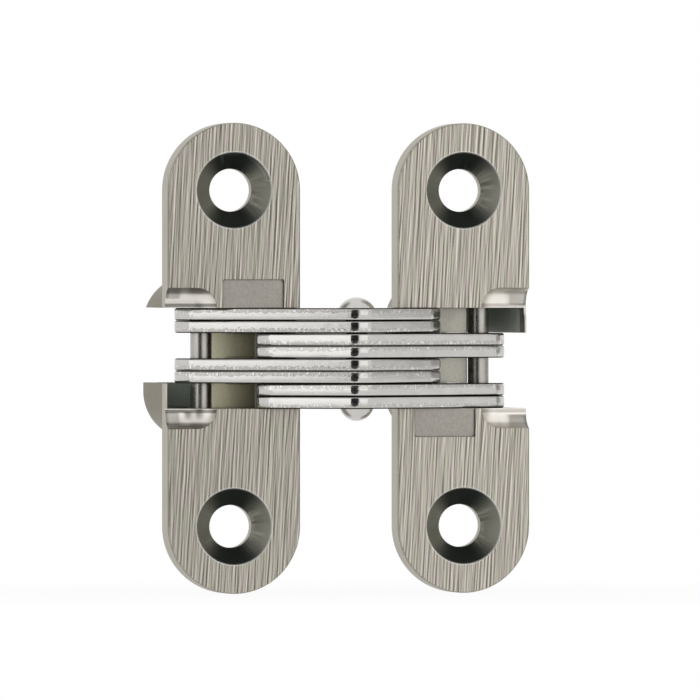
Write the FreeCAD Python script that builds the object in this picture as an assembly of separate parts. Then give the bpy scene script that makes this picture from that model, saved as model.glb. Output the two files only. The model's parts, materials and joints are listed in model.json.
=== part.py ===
import FreeCAD, Part
import math
import os

os.makedirs("parts", exist_ok=True)

# Concealed door hinge, shown fully open with both leaves in one plane.
# Own frame in millimetres: X runs from the first leaf to the second, Y goes back
# into the door, Z runs along the pins. The origin is the middle of the first
# leaf's seat, the back plane of its face plate between the screw holes. The
# pieces are drawn with depth counted from the front face, a point in plan being
# (x, depth), and are moved forward by the plate's thickness at the end.

# Leaves
leaf_width = 12.7
leaf_length = 44.45
face_thickness = 3.0
edge_bevel = 0.1
leaf_pitch = 22.2
closed_gap = 0.8

# Screw holes, for a countersunk wood screw
screw_spacing = 31.75
screw_hole_d = 4.05
screw_head_d = 7.3
screw_head_angle = 82.0

# Link plates, eight in a stack of four pairs
plate_thickness = 1.165
pair_gap = 0.02
row_gap = 0.03
nose_r = 2.5
nose_flat = 2.36
nose_flat_lean = 58.0
elbow_r = 2.1
corner_r = 1.4
corner_flat = 1.18
corner_flat_lean = 49.0
eye_r = 1.5
crook_r = 2.6
crook_reach = 5.4
corner_inset = 2.73
corner_depth = 0.3

# Pins
centre_pin_d = 2.0
slide_pin_d = 2.0
fixed_pin_d = 1.6
running_clearance = 0.04
pin_end_setback = 0.1
upper_head_d = 3.4
upper_head_height = 1.0
lower_head_d = 3.1
lower_head_height = 1.13

# Where the pins lie, open and closed, in from the leaf's outer edge
centre_pin_rise = 3.2
slide_pin_inset = 4.0
slide_pin_depth = 4.3
closed_slide_inset = 5.25
closed_centre_inset = 2.75

# Housing behind the face
housing_depth = 17.3
housing_setback = 0.35
cheek_height = 3.59
back_crown_flat = 0.2
outer_taper = 0.65
inner_taper = 2.1
cheek_taper = 0.6
back_edge_break = 0.6

# Inside of the housing
swing_clearance = 0.3
leg_clearance = 0.12
rib_clearance = 0.03
slot_reach = 0.7
slot_clearance = 0.18
fixed_pin_wall = 0.49
screen_drop = 1.3
screen_edge = 0.15
screen_wall = 1.0
screen_back_wall = 1.1

# Pockets and panel in the face
head_clearance = 0.24
panel_start_inset = 5.25
panel_end_inset = 1.55
panel_height = 2.7
panel_sink = 0.3
panel_corner_r = 0.15

overcut = 2.0

plate_pitch = plate_thickness + pair_gap
row_height = 2 * plate_thickness + pair_gap + row_gap
stack_half = 2 * row_height
middle_x = leaf_pitch / 2
slide_pin_x = slide_pin_inset - leaf_width / 2
closed_slide_x = closed_slide_inset - leaf_width / 2
closed_centre_x = closed_centre_inset - leaf_width / 2
outside = leaf_width + overcut
beyond_back = housing_depth + overcut


# Plan geometry

def polar(centre, radius, angle):
    return (centre[0] + radius * math.cos(angle), centre[1] + radius * math.sin(angle))


def gap_between(a, b):
    return math.hypot(b[0] - a[0], b[1] - a[1])


def heading(a, b):
    return math.atan2(b[1] - a[1], b[0] - a[0])


def turned(point, centre, angle):
    return polar(centre, gap_between(centre, point), heading(centre, point) + angle)


def mirrored(point):
    return (leaf_pitch - point[0], point[1])


def vec(point, z=0.0):
    return FreeCAD.Vector(point[0], point[1], z)


def slab(edges, z_low, z_high):
    face = Part.Face(Part.Wire(edges))
    face.translate(FreeCAD.Vector(0, 0, z_low))
    return face.extrude(FreeCAD.Vector(0, 0, z_high - z_low))


def polygon(points):
    closed = [vec(p) for p in points] + [vec(points[0])]
    return Part.makePolygon(closed).Edges


def tangent_line(first, second):
    # Each circle is (centre, radius), with a minus radius for a hollow curve.
    (a, ra), (b, rb) = first, second
    lean = math.asin((ra - rb) / gap_between(a, b))
    side = heading(a, b) - math.pi / 2 + lean
    return polar(a, ra, side), polar(b, rb, side)


def arc_edge(start, middle, end):
    return Part.Arc(vec(start), vec(middle), vec(end)).toShape()


def belt(circles):
    # Outline that wraps the circles in turn with straight tangents between them.
    count = len(circles)
    lines = [tangent_line(circles[i], circles[(i + 1) % count]) for i in range(count)]
    edges = []
    for i, (centre, radius) in enumerate(circles):
        start = lines[i - 1][1]
        end = lines[i][0]
        turn = heading(centre, end) - heading(centre, start)
        turn = turn % math.tau if radius > 0 else -(-turn % math.tau)
        edges.append(arc_edge(start, turned(start, centre, turn / 2), end))
        edges.append(Part.makeLine(vec(end), vec(lines[i][1])))
    return edges


def rod(centre, radius, z_low, z_high):
    return Part.makeCylinder(radius, z_high - z_low, vec(centre, z_low))


# Linkage: the open and closed poses fix where the leaf's own pivot must sit

centre_pin = (middle_x, -centre_pin_rise)
slide_pin = (slide_pin_x, slide_pin_depth)
arm_length = gap_between(centre_pin, slide_pin)
closed_centre = (closed_centre_x, -closed_gap / 2)
closed_side = closed_centre_x - closed_slide_x
closed_slide = (closed_slide_x, closed_centre[1] + math.sqrt(arm_length**2 - closed_side**2))

arm_turn = heading(slide_pin, centre_pin) - heading(closed_slide, closed_centre)
crank_turn = math.pi - arm_turn
swing = gap_between(centre_pin, closed_centre)
swing_middle = ((centre_pin[0] + closed_centre[0]) / 2, (centre_pin[1] + closed_centre[1]) / 2)
pivot_offset = swing / 2 / math.tan(crank_turn / 2)
fixed_pin = polar(swing_middle, pivot_offset, heading(closed_centre, centre_pin) + math.pi / 2)


# The housing's section: its inner side keeps a wall beyond the fixed pin.
outer_x = leaf_width / 2 - housing_setback
inner_x = fixed_pin[0] + fixed_pin_d / 2 + fixed_pin_wall
housing_half_height = stack_half + cheek_height
back_outer_x = outer_x - outer_taper
back_inner_x = inner_x - inner_taper
back_half_height = housing_half_height - cheek_taper
housing_corner_r = (back_outer_x + back_inner_x - back_crown_flat) / 2


def cheek_top(inset):
    # Height of the rounded cheek this far in from the housing's inner side.
    rise = math.sqrt(housing_corner_r**2 - (housing_corner_r - inset) ** 2)
    return housing_half_height - housing_corner_r + rise


def slide_at(share):
    # The slide pin's place when this share of the closing turn is done.
    centre = turned(centre_pin, fixed_pin, -share * crank_turn)
    return polar(centre, arm_length, heading(centre_pin, slide_pin) - share * arm_turn)


# Link plates

corner = (leaf_width / 2 - corner_inset, corner_depth)
far_fixed_pin = mirrored(fixed_pin)
crook_heading = (heading(centre_pin, slide_pin) + heading(centre_pin, far_fixed_pin)) / 2
crook = polar(centre_pin, crook_reach, crook_heading)
link_outline = [
    (slide_pin, nose_r),
    (centre_pin, elbow_r),
    (mirrored(corner), corner_r),
    (far_fixed_pin, eye_r),
    (crook, -crook_r),
]


def beyond_flat(centre, reach, facing):
    # All that lies past a flat which faces this way at this distance.
    foot = polar(centre, reach, facing)
    corners = [polar(foot, nose_r, facing + side * math.pi / 2) for side in (-1, 1)]
    corners += [polar(corners[1], nose_r, facing), polar(corners[0], nose_r, facing)]
    return slab(polygon(corners), -plate_thickness, plate_thickness)


def link_plate(centre_hole_r):
    half = plate_thickness / 2
    plate = slab(belt(link_outline), -half, half)
    nose_facing = math.radians(-90 - nose_flat_lean)
    corner_facing = math.radians(-90 + corner_flat_lean)
    plate = plate.cut(beyond_flat(slide_pin, nose_flat, nose_facing))
    plate = plate.cut(beyond_flat(mirrored(corner), corner_flat, corner_facing))
    eye_hole_r = fixed_pin_d / 2 + running_clearance
    for place, radius in (
        (slide_pin, slide_pin_d / 2),
        (centre_pin, centre_hole_r),
        (far_fixed_pin, eye_hole_r),
        (fixed_pin, fixed_pin_d / 2 + rib_clearance + running_clearance),
    ):
        plate = plate.cut(rod(place, radius, -plate_thickness, plate_thickness))
    return plate


def turned_over(shape):
    # The second leaf and its links are the first ones turned half round about Y.
    copy = shape.copy()
    copy.rotate(FreeCAD.Vector(middle_x, 0, 0), FreeCAD.Vector(0, 1, 0), 180)
    return copy


def lifted(shape, z):
    copy = shape.copy()
    copy.translate(FreeCAD.Vector(0, 0, z))
    return copy


# Leaf casting

def stadium(width, length, y, thickness):
    r = width / 2
    z = length / 2 - r
    ends = [FreeCAD.Vector(x, y, s * z) for s in (1, -1) for x in (-r, r)]
    top = FreeCAD.Vector(0, y, z + r)
    bottom = FreeCAD.Vector(0, y, -z - r)
    edges = [
        Part.Arc(ends[0], top, ends[1]).toShape(),
        Part.makeLine(ends[1], ends[3]),
        Part.Arc(ends[3], bottom, ends[2]).toShape(),
        Part.makeLine(ends[2], ends[0]),
    ]
    return Part.Face(Part.Wire(edges)).extrude(FreeCAD.Vector(0, thickness, 0))


def housing_body():
    # A tapered block, rounded along its length and broken at its back edge.
    body = Part.makeWedge(
        -outer_x, face_thickness, -housing_half_height, -back_half_height, -back_outer_x,
        inner_x, housing_depth, housing_half_height, back_half_height, back_inner_x)
    long_edges = [e for e in body.Edges if e.BoundBox.YLength > housing_depth / 2]
    body = body.makeFillet(housing_corner_r, long_edges)
    rim = [e for e in body.Edges if e.BoundBox.YMin > housing_depth - back_edge_break / 10]
    return body.makeChamfer(back_edge_break, rim)


def face_plate():
    plate = stadium(leaf_width, leaf_length, 0, face_thickness)
    rim = [e for e in plate.Edges if e.BoundBox.YMax < edge_bevel / 2]
    return plate.makeChamfer(edge_bevel, rim)


def arm_bay():
    # Room for the long arms: under their open edge, then along the nose's track.
    edge_start, edge_end = tangent_line((crook, -crook_r), (slide_pin, nose_r))
    slope = (edge_end[1] - edge_start[1]) / (edge_end[0] - edge_start[0])
    drop = swing_clearance / math.cos(math.atan(slope))

    def under_arm(x):
        return edge_start[1] + slope * (x - edge_start[0]) + drop

    wall_x = closed_slide_x + nose_r + swing_clearance
    knee_x = slide_pin_x + nose_r + swing_clearance / 2
    return polygon([
        (-outside, -overcut),
        (outside, -overcut),
        (outside, under_arm(outside)),
        (knee_x, under_arm(knee_x)),
        (wall_x, closed_slide[1]),
        (wall_x, beyond_back),
        (-outside, beyond_back),
    ])


def rib_face(depth):
    # The rib's outer face leans so that it meets the slide pin open and closed.
    start_x = slide_pin_x + slide_pin_d / 2 + rib_clearance
    end_x = closed_slide_x + slide_pin_d / 2 + rib_clearance
    share = (depth - slide_pin_depth) / (closed_slide[1] - slide_pin_depth)
    return start_x + share * (end_x - start_x)


def shut_leg_lines():
    # Edges of the short leg's room, a clearance outside the leg when it is shut.
    elbow = (closed_centre, -elbow_r - leg_clearance)
    tip = (turned(corner, fixed_pin, -crank_turn), -corner_r - leg_clearance)
    eye = (fixed_pin, -eye_r - leg_clearance)
    return tip[0], tangent_line(elbow, tip), tangent_line(tip, eye)


def along(line, x):
    (x1, y1), (x2, y2) = line
    return y1 + (y2 - y1) * (x - x1) / (x2 - x1)


def leg_bay(left_side):
    # Room for the short legs. Its slope is also the front of the rib.
    tip, slope, under_eye = shut_leg_lines()
    meet, leave = slope[1], under_eye[0]
    bend = (heading(tip, meet) + heading(tip, leave)) / 2
    lowest = polar(tip, gap_between(tip, meet), bend)
    rest = [leave, (outside, along(under_eye, outside)), (outside, -overcut)]
    rest += left_side + [rib_corner(), meet]
    lines = [Part.makeLine(vec(a), vec(b)) for a, b in zip(rest, rest[1:])]
    return [arc_edge(meet, lowest, leave)] + lines


def rib_corner():
    # Where the leaning outer face meets the slope.
    slope = shut_leg_lines()[1]
    near, far = slide_pin_depth, closed_slide[1]
    lean = (rib_face(far) - rib_face(near)) / (far - near)
    fall = (slope[1][1] - slope[0][1]) / (slope[1][0] - slope[0][0])
    x = rib_face(near) + lean * (along(slope, rib_face(near)) - near) / (1 - lean * fall)
    return (x, along(slope, x))


def open_side():
    return [
        (-outside, -overcut),
        (-outside, beyond_back),
        (rib_face(beyond_back), beyond_back),
    ]


def screened_side():
    # An outer wall that is thin at its front edge, and a back wall, close the last row.
    floor_y = housing_depth - screen_back_wall
    floor_x = -back_outer_x + screen_wall
    return [
        (-leaf_width / 2 + screen_edge, -overcut),
        (-leaf_width / 2 + screen_edge, screen_drop),
        (-outer_x + screen_edge, face_thickness),
        (floor_x, floor_y),
        (rib_face(floor_y), floor_y),
    ]


def pin_slot(z_low, z_high):
    # Curved guide for the slide pin, an arc through its place early, midway and late.
    start, middle, end = slide_at(0.0), slide_at(0.5), slide_at(1.0)
    track = arc_edge(start, middle, end).Curve
    centre = (track.Center.x, track.Center.y)
    half = slide_pin_d / 2 + slot_clearance
    bend = heading(centre, middle)

    def ring(radius, place):
        return polar(centre, radius, heading(centre, place))

    inner, outer = track.Radius - half, track.Radius + half
    past_start = polar(start, half, heading(centre, start) + math.pi / 2)
    past_end = polar(end, half, heading(centre, end) - math.pi / 2)
    edges = [
        arc_edge(ring(inner, start), polar(centre, inner, bend), ring(inner, end)),
        arc_edge(ring(inner, end), past_end, ring(outer, end)),
        arc_edge(ring(outer, end), polar(centre, outer, bend), ring(outer, start)),
        arc_edge(ring(outer, start), past_start, ring(inner, start)),
    ]
    return slab(edges, z_low, z_high)


def head_pocket():
    # Round-ended trough about the rivet head's place when the hinge is shut.
    r = upper_head_d / 2 + head_clearance
    centre = vec(closed_centre, stack_half)
    trough = Part.makeCylinder(r, outside, centre, FreeCAD.Vector(-1, 0, 0))
    return trough.fuse(Part.makeSphere(r, centre))


def name_panel():
    # Bare sunk panel above the window.
    start_x = panel_start_inset - leaf_width / 2
    width = leaf_width - panel_start_inset - panel_end_inset
    corner_place = FreeCAD.Vector(start_x, -overcut, stack_half - overcut)
    block = Part.makeBox(width, overcut + panel_sink, panel_height + overcut, corner_place)
    top = stack_half + panel_height - panel_corner_r
    posts = [e for e in block.Edges if e.BoundBox.YLength > overcut and e.BoundBox.ZMin > top]
    return block.makeFillet(panel_corner_r, posts)


def screw_hole(z):
    hole_r = screw_hole_d / 2
    head_r = screw_head_d / 2
    sink = (head_r - hole_r) / math.tan(math.radians(screw_head_angle / 2))
    direction = FreeCAD.Vector(0, 1, 0)
    hole = Part.makeCylinder(
        hole_r, face_thickness + 2 * overcut, FreeCAD.Vector(0, -overcut, z), direction)
    cone = Part.makeCone(head_r, hole_r, sink, FreeCAD.Vector(0, 0, z), direction)
    mouth = Part.makeCylinder(head_r, overcut, FreeCAD.Vector(0, -overcut, z), direction)
    return hole.fuse([cone, mouth])


def leaf_casting():
    body = face_plate().fuse(housing_body()).removeSplitter()
    front = Part.makeBox(
        2 * outside, overcut + screen_drop, 2 * stack_half,
        FreeCAD.Vector(-outside, -overcut, -stack_half))
    slot_end = stack_half + slot_reach
    hole_end = cheek_top(fixed_pin_wall + fixed_pin_d)
    pocket = head_pocket()
    low_pocket = pocket.mirror(FreeCAD.Vector(0, 0, 0), FreeCAD.Vector(0, 0, 1))
    cuts = [
        front,
        slab(arm_bay(), row_height, stack_half),
        slab(arm_bay(), -row_height, 0),
        slab(leg_bay(open_side()), 0, row_height),
        slab(leg_bay(screened_side()), -stack_half, -row_height),
        pin_slot(stack_half - row_gap, slot_end),
        pin_slot(-slot_end, -stack_half + row_gap),
        rod(fixed_pin, fixed_pin_d / 2, -hole_end, hole_end),
        pocket,
        low_pocket,
        name_panel(),
        screw_hole(screw_spacing / 2),
        screw_hole(-screw_spacing / 2),
    ]
    for tool in cuts:
        body = body.cut(tool)
    return body.removeSplitter()


# Pins

def dome(centre, base_z, diameter, height, up):
    r = diameter / 2
    sphere_r = (r * r + height * height) / (2 * height)
    ball = Part.makeSphere(sphere_r, vec(centre, base_z + up * (height - sphere_r)))
    reach = 2 * sphere_r
    low = base_z if up > 0 else base_z - reach
    keep = Part.makeCylinder(reach, reach, vec(centre, low))
    return ball.common(keep)


def rivet():
    shank = rod(centre_pin, centre_pin_d / 2, -stack_half, stack_half)
    upper = dome(centre_pin, stack_half, upper_head_d, upper_head_height, 1)
    lower = dome(centre_pin, -stack_half, lower_head_d, lower_head_height, -1)
    return shank.fuse([upper, lower]).removeSplitter()


slide_half = stack_half + slot_reach - pin_end_setback
fixed_half = cheek_top(fixed_pin_wall) - pin_end_setback
slide_rod = rod(slide_pin, slide_pin_d / 2, -slide_half, slide_half)
fixed_rod = rod(fixed_pin, fixed_pin_d / 2, -fixed_half, fixed_half)
first_leaf = leaf_casting()
loose_plate = link_plate(centre_pin_d / 2 + running_clearance)
tight_plate = turned_over(link_plate(centre_pin_d / 2))

pieces = {
    "leaf_a": first_leaf,
    "leaf_b": turned_over(first_leaf),
    "centre_pin": rivet(),
    "fixed_pin_a": fixed_rod,
    "fixed_pin_b": turned_over(fixed_rod),
    "slide_pin_a": slide_rod,
    "slide_pin_b": turned_over(slide_rod),
}

# Rows are counted from the stack's middle, and each holds a pair of plates.
for name, plate, rows in (
    ("link_a", loose_plate, (1.5, -0.5)),
    ("link_b", tight_plate, (0.5, -1.5)),
):
    places = [row * row_height + side * plate_pitch / 2 for row in rows for side in (1, -1)]
    for number, place in enumerate(places, start=1):
        pieces[f"{name}_plate_{number}"] = lifted(plate, place)

for name, shape in pieces.items():
    shape.translate(FreeCAD.Vector(0, -face_thickness, 0))
    shape.exportStep(f"parts/{name}.step")
    box = shape.BoundBox
    print(name, shape.isValid(), len(shape.Solids), round(shape.Volume, 3),
          [round(v, 2) for v in (box.XMin, box.XMax, box.YMin, box.YMax, box.ZMin, box.ZMax)])

print("fixed pin", [round(v, 4) for v in fixed_pin], "closed slide", closed_slide)
print("crank turn", round(math.degrees(crank_turn), 3), "arm turn", round(math.degrees(arm_turn), 3))
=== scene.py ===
# %% [markdown]
# # A concealed door hinge
#
# This lesson dresses the solids of a small invisible door hinge for its photograph.
# The hinge lies fully open. Two die cast leaves, each with a round-ended face, stand
# side by side, and eight stamped steel links cross between them on one rivet.
# The leaves and the pins keep the shape of the CAD model and only get a finish here.
# The links are rounded along their edges first, because their bright edges are what
# the eye sees of them.

# %% Open the model
import json
import math

import bpy
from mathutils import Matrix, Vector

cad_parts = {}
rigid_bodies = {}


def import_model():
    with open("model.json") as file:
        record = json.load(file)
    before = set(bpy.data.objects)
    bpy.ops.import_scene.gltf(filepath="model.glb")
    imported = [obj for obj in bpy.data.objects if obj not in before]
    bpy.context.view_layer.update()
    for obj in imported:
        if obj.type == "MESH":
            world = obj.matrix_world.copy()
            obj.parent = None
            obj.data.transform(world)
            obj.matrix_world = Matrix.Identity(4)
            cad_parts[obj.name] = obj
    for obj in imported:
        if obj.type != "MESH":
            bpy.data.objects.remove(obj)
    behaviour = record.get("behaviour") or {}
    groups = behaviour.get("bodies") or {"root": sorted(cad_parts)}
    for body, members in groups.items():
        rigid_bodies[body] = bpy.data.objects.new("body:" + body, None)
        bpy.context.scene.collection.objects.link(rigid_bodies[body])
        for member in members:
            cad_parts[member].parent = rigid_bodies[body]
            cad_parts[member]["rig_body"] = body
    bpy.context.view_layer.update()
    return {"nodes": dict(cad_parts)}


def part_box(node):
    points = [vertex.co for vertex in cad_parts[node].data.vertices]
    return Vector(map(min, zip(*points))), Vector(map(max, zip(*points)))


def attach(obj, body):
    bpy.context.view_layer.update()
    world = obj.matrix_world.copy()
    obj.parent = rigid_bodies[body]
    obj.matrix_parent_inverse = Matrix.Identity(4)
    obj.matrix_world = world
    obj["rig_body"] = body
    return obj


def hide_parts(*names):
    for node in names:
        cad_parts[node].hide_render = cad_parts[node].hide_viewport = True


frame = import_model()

MM = 0.001

# %% [markdown]
# ## Landmarks
#
# A finish often stops at a place that the design knows, such as the front face or
# the rim of a countersink. Such places are measured or named once, in metres, and
# every later cell uses the same names.

# %% Name the landmarks
leaf_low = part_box("leaf_a")[0]
FACE_Y = -3.0 * MM
LEAF_A_X = 0.0
LEAF_B_X = 22.2 * MM
HINGE_X = (LEAF_A_X + LEAF_B_X) / 2
RIVET_Y = -6.2 * MM
SCREW_Z = 15.875 * MM
SINK_RADIUS = 3.65 * MM
FLOOR_Z = leaf_low.z
print("face at", FACE_Y, "floor at", round(FLOOR_Z, 5))

# %% [markdown]
# ## The photographed view
#
# The photograph was taken from far away with a long lens, so parallel edges stay
# nearly parallel. The camera stands a little more than twelve degrees to the left,
# which shows the left sides of the housings, and a third of a degree above level, so
# that it can't look through the hair-thin gaps between the links. A long lens far off
# is copied directly. The frame of 700 pixels spans 66 mm at the faces of the leaves.

# %% Place the camera
CAMERA_AZIMUTH = math.radians(-12.3)
CAMERA_LENS = 750.0
SENSOR_WIDTH = 36.0
PICTURE_PIXELS = 700
PIXELS_PER_MM = 10.584
FRAME_WIDTH = PICTURE_PIXELS / PIXELS_PER_MM * MM
AIM_RIGHT = 0.06 * MM
AIM_UP = 0.78 * MM
CAMERA_RISE = math.radians(0.35)


def level_direction(azimuth):
    """Points from the hinge towards something that stands at this azimuth."""
    return (math.sin(azimuth), -math.cos(azimuth), 0.0)


bpy.ops.object.select_all(action="DESELECT")
bpy.ops.object.camera_add()
camera = bpy.context.object
camera.name = "photographed_view"
camera.data.lens = CAMERA_LENS
camera.data.sensor_width = SENSOR_WIDTH
camera_distance = FRAME_WIDTH * CAMERA_LENS / camera.data.sensor_width
towards = level_direction(CAMERA_AZIMUTH)
right = (math.cos(CAMERA_AZIMUTH), math.sin(CAMERA_AZIMUTH))
aim_x = HINGE_X + AIM_RIGHT * right[0]
aim_y = FACE_Y + AIM_RIGHT * right[1]
camera.location = (
    aim_x + towards[0] * camera_distance,
    aim_y + towards[1] * camera_distance,
    AIM_UP + camera_distance * math.tan(CAMERA_RISE),
)
camera.rotation_euler = (math.pi / 2 - CAMERA_RISE, 0.0, CAMERA_AZIMUTH)
camera.data.clip_start = 0.01
camera.data.clip_end = 20.0
bpy.context.scene.camera = camera
print("camera distance", round(camera_distance, 4))

# %% [markdown]
# ## Nodes written as sums
#
# A finish is a small formula: a mask times a colour, plus some noise. Wiring such a
# formula by hand hides it, so a socket is wrapped in a class that gives it the
# operators of Python. An expression such as `1 - mask` then adds its own Math node.
# Colours and places aren't single numbers, so they go through nodes of their own.

# %% Wrap a socket
class Wire:
    """The output of a shader node, on which sums can be written."""

    def __init__(self, finish, socket):
        self.finish = finish
        self.socket = socket

    def math(self, operation, *values):
        """Adds a Math node for this operation."""
        inputs = dict(enumerate(values))
        return self.finish.node("ShaderNodeMath", {"operation": operation}, inputs)

    def __add__(self, other):
        return self.math("ADD", self, other)

    def __radd__(self, other):
        return self.math("ADD", other, self)

    def __sub__(self, other):
        return self.math("SUBTRACT", self, other)

    def __rsub__(self, other):
        return self.math("SUBTRACT", other, self)

    def __mul__(self, other):
        return self.math("MULTIPLY", self, other)

    def __rmul__(self, other):
        return self.math("MULTIPLY", other, self)

    def __truediv__(self, other):
        return self.math("DIVIDE", self, other)

    def __pow__(self, other):
        return self.math("POWER", self, other)

    def __abs__(self):
        return self.math("ABSOLUTE", self)


print("a socket knows", [n for n in dir(Wire) if n.startswith("__r")])

# %% [markdown]
# ## A finish and its tools
#
# A finish is one material. Its one general method adds a node: the settings go in
# first, because they can change which sockets there are, and then the values and
# links. The other methods are short names for patterns that metal needs often:
# stretched noise for brush marks, a soft step from one zone to the next, edges that
# catch the light as if they were rounded, a normal that leans another way, and the
# painted shade that darkens corners.

# %% Make the finish class
class Finish:
    """A material under construction, with its coordinates in millimetres."""

    def __init__(self, name):
        self.material = bpy.data.materials.new(name)
        self.material.use_nodes = True
        self.tree = self.material.node_tree
        self.shader = self.tree.nodes["Principled BSDF"]
        here = self.node("ShaderNodeTexCoord", output="Object")
        scale = {0: here, "Scale": 1 / MM}
        self.place = self.node("ShaderNodeVectorMath", {"operation": "SCALE"}, scale)
        self.x = self.node("ShaderNodeSeparateXYZ", inputs={0: self.place}, output="X")
        self.y = self.node("ShaderNodeSeparateXYZ", inputs={0: self.place}, output="Y")
        self.z = self.node("ShaderNodeSeparateXYZ", inputs={0: self.place}, output="Z")

    def node(self, kind, settings=None, inputs=None, output=0):
        """Adds a node: its settings first, then the values or links of its sockets."""
        made = self.tree.nodes.new(kind)
        for name, value in (settings or {}).items():
            setattr(made, name, value)
        for name, value in (inputs or {}).items():
            if isinstance(value, Wire):
                self.tree.links.new(value.socket, made.inputs[name])
            else:
                made.inputs[name].default_value = value
        return Wire(self, made.outputs[output])

    def set(self, **values):
        """Sets the shader's own sockets, by value or by link."""
        for name, value in values.items():
            socket = self.shader.inputs[name.replace("_", " ")]
            if isinstance(value, Wire):
                self.tree.links.new(value.socket, socket)
            else:
                socket.default_value = value

    def step(self, value, low, high):
        """Goes smoothly from 0 at low to 1 at high."""
        inputs = {"Value": value, "From Min": low, "From Max": high}
        settings = {"interpolation_type": "SMOOTHSTEP"}
        return self.node("ShaderNodeMapRange", settings, inputs)

    def colour(self, mask, without, within):
        """Mixes two colours by a mask."""
        settings = {"data_type": "RGBA"}
        return self.node("ShaderNodeMix", settings, {0: mask, 6: without, 7: within}, 2)

    def stretched(self, scale, turn=(0.0, 0.0, 0.0), shift=(0.0, 0.0, 0.0)):
        """The place in millimetres, turned, stretched by axis and moved."""
        inputs = {"Vector": self.place, "Rotation": turn}
        turned = self.node("ShaderNodeMapping", inputs=inputs)
        inputs = {"Vector": turned, "Scale": scale, "Location": shift}
        return self.node("ShaderNodeMapping", inputs=inputs)

    def noise(self, where, scale=1.0, detail=2.0, roughness=0.5):
        """Cloudy noise from 0 to 1, with its middle at a half."""
        inputs = {"Vector": where, "Scale": scale, "Detail": detail}
        inputs["Roughness"] = roughness
        return self.node("ShaderNodeTexNoise", inputs=inputs)

    def bump(self, height, strength, distance, below=None):
        """Turns a height in millimetres into a surface normal."""
        inputs = {"Height": height, "Strength": strength, "Distance": distance}
        if below is not None:
            inputs["Normal"] = below
        return self.node("ShaderNodeBump", inputs=inputs)

    def facing(self, plain, mask, direction):
        """Leans a normal towards a direction of its own body by a mask."""
        code = tuple((part + 1) / 2 for part in direction) + (1.0,)
        leaned = self.node("ShaderNodeNormalMap", {"space": "OBJECT"}, {"Color": code})
        settings = {"data_type": "VECTOR"}
        return self.node("ShaderNodeMix", settings, {0: mask, 4: plain, 5: leaned}, 1)

    def rounded_edges(self, radius):
        """A normal that turns softly over edges of this radius in millimetres."""
        return self.node("ShaderNodeBevel", {"samples": 4}, {"Radius": radius * MM})

    def painted_corner_shade(self, reach, inside_only=True):
        """Painted shade: rises from 0 in the open to 1 deep in a corner or a groove."""
        settings = {"samples": 6, "only_local": inside_only}
        inputs = {"Distance": reach * MM}
        open_sky = self.node("ShaderNodeAmbientOcclusion", settings, inputs, "AO")
        return 1 - self.step(open_sky, 0.30, 0.80)


def grey(value, warmth=0.0):
    """A metal grey, with some yellow in it where warmth is above 0."""
    return (value, value * (1 - 0.38 * warmth), value * (1 - warmth), 1.0)


def toned(colour, factor):
    """A colour made lighter or darker by a factor."""
    return tuple(part * factor for part in colour) + (1.0,)


print("a finish has", [n for n in vars(Finish) if not n.startswith("_")])

# %% [markdown]
# ## Merged copies
#
# A CAD mesh is loose triangles, each shaded flat, so a round pin shows its facets. A
# copy has the same shape, but its triangles are merged into whole faces and its soft
# edges are shaded smooth. Weighted normals keep the flat faces flat where they run
# into a curve. The copy rides on the same body and stands for the CAD node.

# %% Merge a copy of a node
def open_copy(name, ending):
    """Copies a CAD node's mesh, merges it and leaves it open in edit mode."""
    bpy.ops.object.select_all(action="DESELECT")
    copy = bpy.data.objects.new(name + ending, frame["nodes"][name].data.copy())
    bpy.context.scene.collection.objects.link(copy)
    bpy.context.view_layer.objects.active = copy
    copy.select_set(True)
    bpy.ops.object.mode_set(mode="EDIT")
    bpy.ops.mesh.select_all(action="SELECT")
    bpy.ops.mesh.remove_doubles(threshold=0.001 * MM)
    bpy.ops.mesh.dissolve_limited(angle_limit=math.radians(0.5))
    return copy


def close_copy(copy, name, smooth_degrees, finish):
    """Shades a copy, dresses it and lets it stand for its node."""
    bpy.ops.object.mode_set(mode="OBJECT")
    bpy.ops.object.shade_smooth_by_angle(angle=math.radians(smooth_degrees))
    weighted = copy.modifiers.new("flat_faces_stay_flat", "WEIGHTED_NORMAL")
    weighted.keep_sharp = True
    bpy.ops.object.modifier_apply(modifier=weighted.name)
    copy.data.materials.clear()
    copy.data.materials.append(finish.material)
    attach(copy, frame["nodes"][name]["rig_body"])
    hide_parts(name)
    print(copy.name, "faces", len(copy.data.polygons))


print("a node has", len(frame["nodes"]["leaf_a"].data.polygons), "triangles on leaf_a")

# %% [markdown]
# ## The leaves
#
# Each leaf is one zinc casting, plated a satin nickel. Its face was ground on a belt
# before plating, so fine lines run along it, a third of a millimetre apart and not
# quite parallel. Each line is a noise less the same noise one step aside, which keeps
# bright and dark in balance from line to line.
# Nothing else was ground: the housing, the troughs by the links and the sunk panel
# keep the smooth skin of the casting, and the countersinks are glossy and dark,
# darkest at top and bottom, where a dark reflection is painted.
# The zones need no painting by hand. The ground face is all that lies in the plane of
# the face, and a countersink is all that lies near a screw's axis behind that plane.
# Corners are darkened with painted shade, which an ambient occlusion node finds.

# %% Find the zones of a leaf
def ring_distance(finish, centre_x):
    """The distance in millimetres from the axis of the nearer screw."""
    across = finish.x - centre_x / MM
    along = abs(finish.z) - SCREW_Z / MM
    return (across * across + along * along) ** 0.5


def ground_lines(finish, scale, lean):
    """Lines from -1 to 1 that balance out over a few neighbours."""
    here = finish.noise(finish.stretched(scale, (0, lean, 0)), 1.0, 1.0)
    beside = finish.noise(finish.stretched(scale, (0, lean, 0), (1.0, 0, 0)), 1.0, 1.0)
    return here - beside


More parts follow.
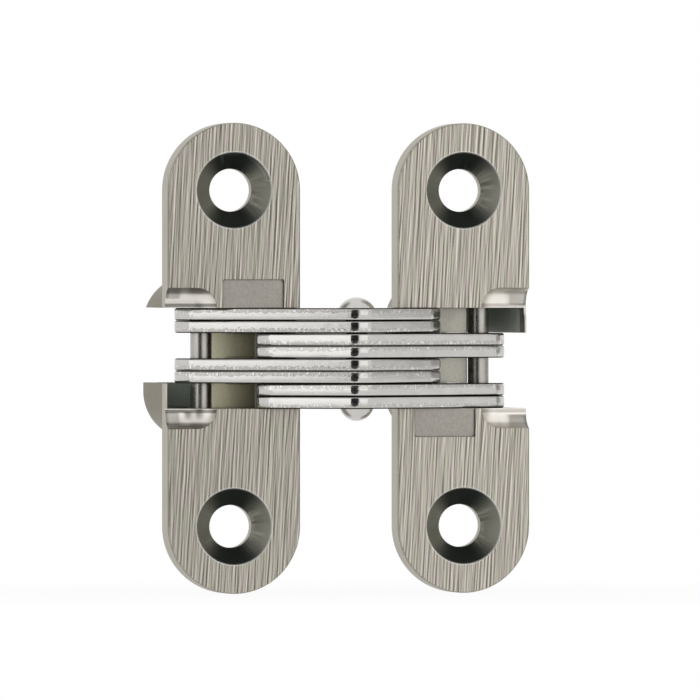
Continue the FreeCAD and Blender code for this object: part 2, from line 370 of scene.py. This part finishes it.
def brushed(finish, lean):
    """Fine grinding lines from 0, dark, to 1, bright, with a few deeper scratches."""
    fine = ground_lines(finish, (6.1, 1.0, 0.11), lean)
    short = ground_lines(finish, (7.6, 1.0, 0.32), lean * 0.6)
    broad_place = finish.stretched((1.3, 1.0, 0.10), (0, lean * 1.4, 0))
    broad = finish.noise(broad_place)
    cut_place = finish.stretched((8.0, 1.0, 0.10), (0, lean * 1.7, 0))
    cut = finish.noise(cut_place, detail=1.0, roughness=0.4)
    scratch = finish.step(cut, 0.63, 0.72)
    lines = 0.55 + 1.6 * fine + 0.7 * short + 0.3 * (broad - 0.5)
    return lines - 0.30 * scratch


# %% [markdown]
# Behind the face the casting has more skins. The two half-round troughs, which clear
# the rivet's heads when the door is shut, are painted light as a highlight between two
# bands of painted shade, with lit tones of their own on each leaf. The
# bays for the links, between the cheeks, were never polished and are dull and
# greenish. The ribs between the links face the lens in the photograph, while those of
# the model slope back to clear the legs, so their shading leans forward. The second
# leaf is the first one turned half round, so its places are counted from its middle
# towards the other side.

# %% Find the glossy and the dull skins
STACK_HALF = 4.76 * MM
TROUGH_AXIS_IN_FRONT = 0.4 * MM
TROUGH_RADIUS = 1.94 * MM
# The bay's side walls lean inwards by these shares of the depth. All in millimetres.
BAY_OUTER_WALL = -6.18
BAY_OUTER_LEAN = 0.077
BAY_INNER_WALL = 6.38
BAY_INNER_LEAN = 0.149
BAY_BACK = 16.5
RIB_SIDE = -1.80
RIB_SIDE_LEAN = 0.119


def trough_mask(finish, depth, inward):
    """Marks the half-round troughs beside the stack of links."""
    above = abs(finish.z) - STACK_HALF / MM
    before = depth + TROUGH_AXIS_IN_FRONT / MM
    from_axis = (above * above + before * before) ** 0.5
    radius = TROUGH_RADIUS / MM
    near = 1 - finish.step(from_axis, radius + 0.03, radius + 0.06)
    return near * (1 - finish.step(inward, -1.5, -1.35)) * finish.step(above, 0.0, 0.02)


def bay_mask(finish, depth, inward):
    """Marks the bays between the cheeks, inside the leaning walls and the back."""
    between = 1 - finish.step(abs(finish.z), STACK_HALF / MM, STACK_HALF / MM + 0.02)
    outer = inward - BAY_OUTER_LEAN * depth
    inner = inward + BAY_INNER_LEAN * depth
    inside = finish.step(outer, BAY_OUTER_WALL, BAY_OUTER_WALL + 0.04)
    inside = inside * (1 - finish.step(inner, BAY_INNER_WALL, BAY_INNER_WALL + 0.04))
    return between * inside * (1 - finish.step(depth, BAY_BACK, BAY_BACK + 0.1))


def rib_front_mask(finish, depth, inward):
    """Marks the front of the ribs, behind the slide pin and the short legs."""
    past_side = finish.step(inward - RIB_SIDE_LEAN * depth, RIB_SIDE, RIB_SIDE + 0.04)
    before_leg = 1 - finish.step(inward, 3.2, 3.5)
    return past_side * before_leg * (1 - finish.step(depth, 7.4, 7.8))


# %% Finish the leaves
GRIND_LEAN = math.radians(-3.5)


def leaf_finish(name, centre_x, side, brightness, trough_lit_tone, trough_shade_tone, rib_colour):
    """The satin plated casting, with its ground face, for one leaf."""
    finish = Finish(name)
    depth = finish.y - FACE_Y / MM
    inward = (finish.x - centre_x / MM) * side
    on_face = 1 - finish.step(depth, 0.015, 0.05)
    near_face = 1 - finish.step(depth, 0.35, 0.5)
    in_trough = trough_mask(finish, depth, inward) * (1 - on_face)
    in_bay = bay_mask(finish, depth, inward) * (1 - on_face)
    on_rib = in_bay * rib_front_mask(finish, depth, inward)
    radius = ring_distance(finish, centre_x)
    sink_edge = SINK_RADIUS / MM
    in_sink = 1 - finish.step(radius, sink_edge - 0.03, sink_edge)
    in_sink = in_sink * (1 - on_face) * (1 - finish.step(depth, 1.86, 1.9))
    upright = abs(abs(finish.z) - SCREW_Z / MM) / radius
    # The rim of each countersink gets a painted highlight, a pale ring.
    rim_highlight = finish.step(radius, sink_edge - 0.16, sink_edge - 0.02)
    rim_highlight = rim_highlight * (1 - finish.step(radius, sink_edge + 0.02, sink_edge + 0.10))
    rim_highlight = rim_highlight * near_face

    lines = brushed(finish, GRIND_LEAN)
    cloud = finish.noise(finish.place, 0.35, 2.0)
    grain = finish.noise(finish.place, 5.0, 3.0)
    tint = finish.noise(finish.stretched((1.6, 1.0, 0.5)), 1.0, 2.0)
    rosy = toned((0.64, 0.58, 0.53), brightness)
    green = toned((0.61, 0.60, 0.50), brightness)
    bright = finish.colour(finish.step(tint, 0.35, 0.65), rosy, green)
    dark = grey(0.155 * brightness, 0.26)

    ground = finish.colour(lines, dark, bright)
    cast = finish.colour(cloud, grey(0.50, 0.12), grey(0.62, 0.10))
    housing = finish.colour(cloud, grey(0.17, 0.28), grey(0.24, 0.24))
    cast = finish.colour(finish.step(depth, 2.9, 3.1), cast, housing)
    panel = finish.colour(grain, grey(0.25, 0.18), grey(0.39, 0.14))
    # Painted dark reflection: the countersink turns near black towards its top and
    # bottom.
    painted_dark_reflection = finish.step(upright, 0.45, 0.95)
    sink = finish.colour(painted_dark_reflection, (0.26, 0.26, 0.22, 1.0), (0.03, 0.036, 0.032, 1.0))
    # The trough is painted lit, with bands of painted shade; each leaf passes its own
    # tones.
    dim, clear = grey(trough_lit_tone - 0.05, 0.12), grey(trough_lit_tone + 0.05, 0.10)
    trough = finish.colour(cloud, dim, clear)
    above = abs(finish.z) - STACK_HALF / MM
    low_shade_band = finish.step(above, 0.06, 0.12) * (1 - finish.step(above, 0.34, 0.48))
    trough_shade_bands = finish.step(above, 1.15, 1.50) + low_shade_band
    trough = finish.colour(trough_shade_bands, trough, grey(trough_shade_tone, 0.14))
    rib = finish.colour(grain, toned(rib_colour, 0.8), toned(rib_colour, 1.2))
    bay = finish.colour(on_rib, (0.38, 0.415, 0.37, 1.0), rib)
    skin = finish.colour(near_face, cast, panel)
    skin = finish.colour(in_bay, skin, bay)
    skin = finish.colour(in_trough, skin, trough)
    skin = finish.colour(in_sink, skin, sink)
    paint = finish.colour(on_face, skin, ground)
    # Painted highlight on the countersink rim.
    paint = finish.colour(rim_highlight * 0.5, paint, grey(0.80, 0.04))
    # Painted shade: corners found by ambient occlusion turn near black.
    corner = finish.painted_corner_shade(0.4)
    paint = finish.colour(corner * 0.85, paint, grey(0.03, 0.1))

    face_rough = 0.42 - 0.14 * lines
    cast_rough = 0.26 + 0.12 * cloud + 0.16 * in_sink + 0.12 * in_trough + 0.10 * in_bay
    rough = face_rough * on_face + cast_rough * (1 - on_face)

    height = lines * 0.008 * on_face + grain * 0.006 * (1 - on_face)
    below = finish.facing(finish.rounded_edges(0.10), on_rib, (0.0, -1.0, 0.0))
    normal = finish.bump(height, 0.8, 1.0 * MM, below)
    metal = 1 - 0.75 * in_bay * (1 - on_rib)
    finish.set(Specular_Tint=(0.66, 0.64, 0.58, 1.0))
    finish.set(Base_Color=paint, Metallic=metal, Roughness=rough, Normal=normal)
    return finish


# Each leaf: its middle, its inner side, brightness, painted lit trough tone, painted
# trough shade tone and ribs.
leaves = {
    "leaf_a": (LEAF_A_X, 1, 0.95, 0.82, 0.30, (0.58, 0.555, 0.40)),
    "leaf_b": (LEAF_B_X, -1, 1.0, 0.92, 0.60, (0.58, 0.56, 0.49)),
}
for name, tones in leaves.items():
    casting = open_copy(name, "_casting")
    finish = leaf_finish(name + "_satin", *tones)
    close_copy(casting, name, 28.0, finish)

# %% [markdown]
# ## The links
#
# Each link is stamped from steel sheet and tumbled, which rounds its edges. The
# punch leaves a smooth bright band and, near one side, a torn zone with small
# ripples. A plate in the CAD model has square edges, so those of the copy are
# bevelled, together with the corners of its outline. The copy carries an attribute
# that says how far through the sheet a point lies, so the torn zone follows the plate
# wherever it sits in the stack.

# %% Round the edges of the links
EDGE_ROUNDING = 0.26 * MM
torn_side = {
    "link_a_plate_1": 1,
    "link_a_plate_2": -1,
    "link_b_plate_1": -1,
    "link_b_plate_2": 1,
    "link_a_plate_3": -1,
    "link_a_plate_4": 1,
    "link_b_plate_3": 1,
    "link_b_plate_4": -1,
}


def round_sheet_edges():
    """Rounds the square edges of the open plate and the corners of its outline."""
    bpy.ops.mesh.select_all(action="DESELECT")
    bpy.ops.mesh.select_mode(type="EDGE")
    bpy.ops.mesh.edges_select_sharp(sharpness=math.radians(15))
    bpy.ops.mesh.bevel(offset=EDGE_ROUNDING, segments=4, affect="EDGES")


def mark_through_sheet(plate, low, high, side):
    """Stores 0 on the punched side of the sheet and 1 on the torn side."""
    through = plate.data.attributes.new("through_sheet", "FLOAT", "POINT")
    for vertex in plate.data.vertices:
        share = (vertex.co.z - low) / (high - low)
        through.data[vertex.index].value = share if side > 0 else 1 - share


print("plates to round:", len(torn_side))

# %% [markdown]
# The finish of a link has three zones through the sheet: a dull rolled-over edge,
# a smooth burnished band, and the torn zone, where short ripples and bright chips
# stand across the edge. The wide faces, seen only from above, keep the dull skin of
# the sheet. Neighbouring plates nearly touch, and the groove between them and all that
# is shut in behind it get painted shade, black and dull. In the two middle pairs the
# plates are pressed together, so the painted shade in the groove between them is paler.

# %% Finish the links
PRESSED_SEAM_Z = 1.19 * MM


def link_finish():
    """Tumbled, plated steel with a torn zone along one side of the edge."""
    finish = Finish("link_stamped_steel")
    settings = {"attribute_name": "through_sheet"}
    through = finish.node("ShaderNodeAttribute", settings, output="Fac")
    ripple = finish.noise(finish.stretched((2.2, 2.2, 1.1)))
    torn = finish.step(through + 0.5 * (ripple - 0.5), 0.60, 0.68)
    chips = finish.noise(finish.stretched((4.5, 4.5, 3.0)), roughness=0.6)
    chip = finish.step(chips, 0.56, 0.66)
    drag = finish.noise(finish.stretched((0.8, 0.8, 9.0)))
    cloud = finish.noise(finish.place, 0.6, 2.0)
    outward = abs(through - 0.5) * 2
    wide = finish.step(outward, 0.992, 0.998)
    # Painted shade: the groove at the sheet's edges and all that is shut in behind go
    # black and dull.
    shut_in_shade = finish.painted_corner_shade(0.25, inside_only=False)
    groove = finish.step(outward, 0.79, 0.87) * (1 - wide)
    groove = groove.math("MAXIMUM", groove, shut_in_shade)
    pressed = 1 - finish.step(abs(abs(finish.z) - PRESSED_SEAM_Z / MM), 0.25, 0.35)
    groove = groove * (1 - 0.45 * pressed)

    band = finish.colour(cloud + 0.8 * (drag - 0.5), grey(0.50, 0.07), grey(0.62, 0.05))
    broken = finish.colour(chip, grey(0.50, 0.09), grey(0.80, 0.02))
    paint = finish.colour(torn, band, broken)
    paint = finish.colour(wide, paint, grey(0.40, 0.05))
    paint = finish.colour(groove, paint, grey(0.02, 0.1))
    rough = 0.09 + 0.05 * cloud + 0.08 * torn + 0.16 * wide + 0.7 * groove
    finish.set(Specular_IOR_Level=0.0)
    height = chips * torn * 0.006 + cloud * 0.006 + drag * 0.002
    normal = finish.bump(height, 0.8, 1.0 * MM)
    finish.set(Base_Color=paint, Metallic=1 - groove, Roughness=rough, Normal=normal)
    return finish


stamped = link_finish()
for name, side in torn_side.items():
    low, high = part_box(name)
    plate = open_copy(name, "_stamped")
    round_sheet_edges()
    bpy.ops.object.mode_set(mode="OBJECT")
    mark_through_sheet(plate, low.z, high.z, side)
    close_copy(plate, name, 35.0, stamped)

# %% [markdown]
# ## The pins and the rivet
#
# The slide pins and the fixed pins are drawn steel, smooth along their length with
# faint lines from drawing. The rivet's domed heads were struck and then plated, so
# they shine most. Both finishes are simple: a clean metal with a little unevenness
# in its gloss, so that a highlight breaks up as it does on a real small pin.

# %% Finish the pins and the rivet
def drawn_steel():
    """Smooth drawn steel for the cross pins."""
    finish = Finish("drawn_pin_steel")
    along = finish.noise(finish.stretched((6.0, 6.0, 0.6)), detail=3.0)
    cloud = finish.noise(finish.place, 0.8, 2.0)
    paint = finish.colour(along, grey(0.34, 0.12), grey(0.50, 0.10))
    # Painted shade in corners, from ambient occlusion.
    corner_shade = finish.painted_corner_shade(0.3, inside_only=False)
    paint = finish.colour(corner_shade * 0.8, paint, grey(0.03))
    rough = 0.22 + 0.12 * cloud
    normal = finish.bump(along * 0.004, 0.6, 1.0 * MM)
    finish.set(Base_Color=paint, Metallic=1.0, Roughness=rough, Normal=normal)
    return finish


def struck_rivet():
    """The bright domed rivet, with small dents from the header."""
    finish = Finish("struck_rivet_steel")
    dents = finish.noise(finish.place, 1.1, 1.0)
    cloud = finish.noise(finish.place, 0.7, 2.0)
    paint = finish.colour(cloud, grey(0.54, 0.08), grey(0.66, 0.07))
    # Painted shade in corners, from ambient occlusion.
    corner_shade = finish.painted_corner_shade(0.2, inside_only=False)
    paint = finish.colour(corner_shade * 0.9, paint, grey(0.02))
    rough = 0.22 + 0.08 * cloud
    normal = finish.bump(dents * 0.02, 0.6, 1.0 * MM)
    finish.set(Base_Color=paint, Metallic=1.0, Roughness=rough, Normal=normal)
    return finish


pin_steel = drawn_steel()
for name in ("fixed_pin_a", "fixed_pin_b", "slide_pin_a", "slide_pin_b"):
    close_copy(open_copy(name, "_drawn"), name, 30.0, pin_steel)
rivet = open_copy("centre_pin", "_struck")
close_copy(rivet, "centre_pin", 30.0, struck_rivet())

# %% [markdown]
# ## The studio
#
# The hinge was photographed in a white tent, so nearly everything that the metal
# mirrors is white. Metal that mirrors only white looks like paper, so there is one
# black card by the lens, with a second on the floor before it. Their mirror image is
# the dark bar where the links bend. A grey card on the right calms the short legs.
# The floor and the world are white where the camera or a mirror image looks at them,
# and light the hinge at a plain level otherwise.

# %% Lay the floor
FLOOR_SIZE = 6.0


class StageFinish(Finish):
    """A finish for the floor, the world and the cards."""

    def __init__(self, name, tree=None):
        if tree is None:
            super().__init__(name)
        self.tree = tree or self.tree

    def mirrored_white(self, plain, white, share):
        """Mixes towards white for the camera and for mirror images."""
        seen = self.node("ShaderNodeLightPath", output="Is Camera Ray")
        for ray in ("Is Glossy Ray", "Is Transmission Ray"):
            other = self.node("ShaderNodeLightPath", output=ray)
            seen = seen.math("MAXIMUM", seen, other)
        inputs = {0: seen * share, 1: plain, 2: white}
        return self.node("ShaderNodeMixShader", inputs=inputs)

    def hand_over(self, output, surface):
        """Links a surface to the output node of this name."""
        self.tree.links.new(surface.socket, self.tree.nodes[output].inputs["Surface"])


bpy.ops.object.select_all(action="DESELECT")
below_hinge = (HINGE_X, 0.0, FLOOR_Z - 0.02 * MM)
bpy.ops.mesh.primitive_plane_add(size=FLOOR_SIZE, location=below_hinge)
bpy.ops.object.transform_apply(location=True)
floor = bpy.context.object
floor.name = "pale_floor"
paper = StageFinish("pale_floor_paper")
aside = paper.x - HINGE_X / MM
away = (aside * aside + paper.y * paper.y) ** 0.5
share = 0.93 + 0.07 * paper.step(away, 25.0, 70.0)
plain = paper.node("ShaderNodeBsdfDiffuse", inputs={"Color": grey(0.93)})
white = paper.node("ShaderNodeEmission", inputs={"Color": grey(1.0), "Strength": 1.0})
paper.hand_over("Material Output", paper.mirrored_white(plain, white, share))
floor.data.materials.append(paper.material)
print("floor at", floor.data.vertices[0].co.z)

# %% Light the world
world = bpy.data.worlds.new("white_tent")
bpy.context.scene.world = world
world.use_nodes = True
tent = StageFinish("white_tent", world.node_tree)
soft = tent.node("ShaderNodeBackground", inputs={"Color": grey(1.0), "Strength": 0.75})
bright = tent.node("ShaderNodeBackground", inputs={"Color": grey(1.0), "Strength": 1.0})
tent.hand_over("World Output", tent.mirrored_white(soft, bright, 1.0))
bpy.context.scene.view_settings.view_transform = "Standard"
print("world", world.name)

# %% [markdown]
# A lamp or a card is placed by the azimuth at which the hinge sees it, counted from
# straight in front and positive to the right, as on a compass laid on the floor. The
# camera must not see any of them, because they stand nearer than it does. The cards
# show only in mirror images, so they take no light from the floor.

# %% Place the lamps and the cards
LAMP_DISTANCE = 0.6
CARD_DISTANCE = 0.5


def place_around(thing, azimuth, elevation, distance):
    """Stands a thing at an azimuth and an elevation, facing the hinge."""
    flat = math.cos(elevation) * distance
    ahead = level_direction(azimuth)
    thing.location = (
        HINGE_X + ahead[0] * flat,
        ahead[1] * flat,
        math.sin(elevation) * distance,
    )
    thing.rotation_euler = (math.pi / 2 - elevation, 0.0, azimuth)
    thing.visible_camera = False


def soft_lamp(name, azimuth, elevation, width, height, power):
    """A rectangular soft box."""
    bpy.ops.object.light_add(type="AREA")
    lamp = bpy.context.object
    lamp.name = name
    lamp.data.shape = "RECTANGLE"
    lamp.data.size = width
    lamp.data.size_y = height
    lamp.data.energy = power
    place_around(lamp, math.radians(azimuth), math.radians(elevation), LAMP_DISTANCE)


def mirror_only(sheet, paint):
    """Paints a card and lets it show in mirror images alone."""
    sheet.visible_camera = False
    sheet.visible_shadow = False
    sheet.visible_diffuse = False
    sheet.data.materials.append(paint.material)


def card(name, paint, azimuth, width, height):
    """An upright card, which is seen only in mirror images."""
    bpy.ops.object.select_all(action="DESELECT")
    bpy.ops.mesh.primitive_plane_add(size=1.0)
    sheet = bpy.context.object
    sheet.name = name
    sheet.scale = (width, height, 1.0)
    place_around(sheet, math.radians(azimuth), 0.0, CARD_DISTANCE)
    bpy.ops.object.transform_apply(location=True, rotation=True, scale=True)
    mirror_only(sheet, paint)


def floor_fan(name, paint, azimuth, near, far, half_width):
    """A three-cornered card on the floor, which widens from near the hinge outwards."""
    bpy.ops.object.select_all(action="DESELECT")
    bpy.ops.mesh.primitive_circle_add(vertices=3, radius=1.0, fill_type="NGON")
    fan = bpy.context.object
    fan.name = name
    length = far - near
    fan.scale = (half_width / math.cos(math.radians(30)), length / 1.5, 1.0)
    ahead = level_direction(math.radians(azimuth))
    reach = near + length / 1.5
    fan.location = (
        HINGE_X + ahead[0] * reach,
        RIVET_Y + ahead[1] * reach,
        FLOOR_Z + 0.1 * MM,
    )
    fan.rotation_euler = (0.0, 0.0, math.radians(azimuth))
    bpy.ops.object.transform_apply(location=True, rotation=True, scale=True)
    mirror_only(fan, paint)


black_paper = StageFinish("black_card_paper")
black_paper.set(Base_Color=grey(0.02), Roughness=0.9)
grey_paper = StageFinish("grey_card_paper")
grey_paper.set(Base_Color=grey(0.60), Roughness=0.9)
soft_lamp("left_soft_box", -60.0, 6.0, 0.50, 0.5, 0.44)
soft_lamp("right_soft_box", 27.0, 8.0, 0.46, 0.5, 0.30)
card("card_by_the_lens", black_paper, -21.5, 0.374, 1.3)
floor_fan("card_on_the_floor", black_paper, -21.5, 0.03, 0.5, 0.187)
card("card_on_the_right", grey_paper, 98.5, 0.50, 0.6)
things = bpy.context.scene.objects
print("cards:", [o.name for o in things if o.name.startswith("card")])

# %% [markdown]
